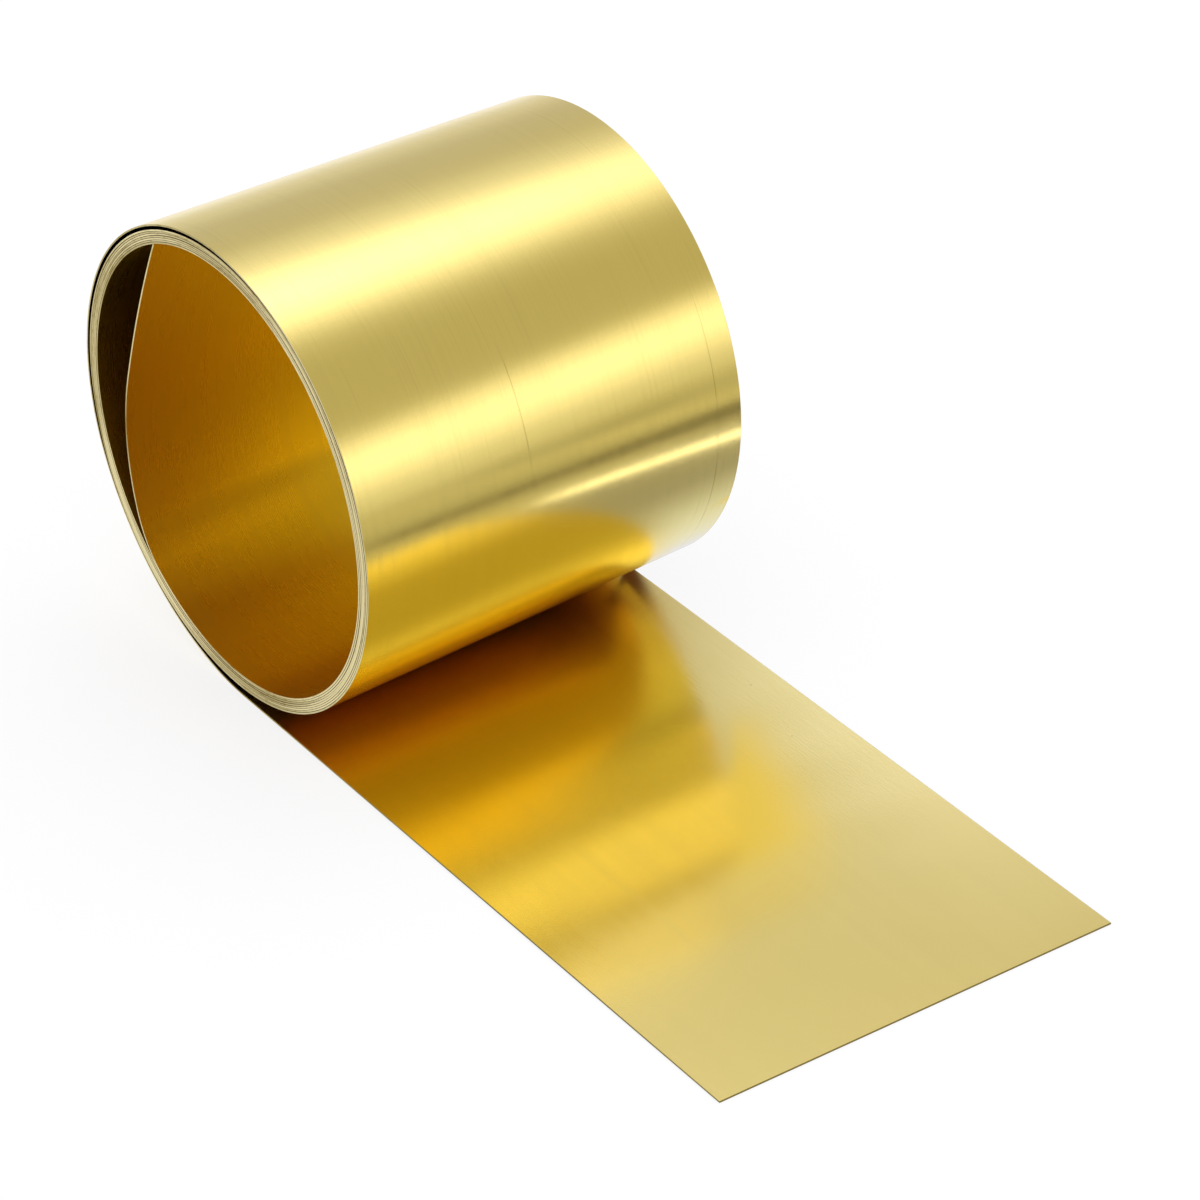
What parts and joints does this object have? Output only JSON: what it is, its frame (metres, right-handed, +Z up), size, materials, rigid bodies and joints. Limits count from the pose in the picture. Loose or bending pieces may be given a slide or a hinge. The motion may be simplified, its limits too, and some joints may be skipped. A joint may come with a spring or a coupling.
{
  "type": "roll of brass sheet",
  "caption": "Thin brass sheet rolled into an open coil, with its outer end lying flat in front and its inner end sprung into the bore.",
  "frame": {"origin": "on the floor, under the middle of the bounding box", "axes": "+X along the flat outer end of the sheet, away from the coil; Y along the axis of the coil; +Z up"},
  "size_m": [0.236, 0.1, 0.1136],
  "materials": {
    "brass": "mill finish with fine rolling grain"
  },
  "bodies": {
    "root": {"brass_sheet": "brass"}
  },
  "joints": []
}
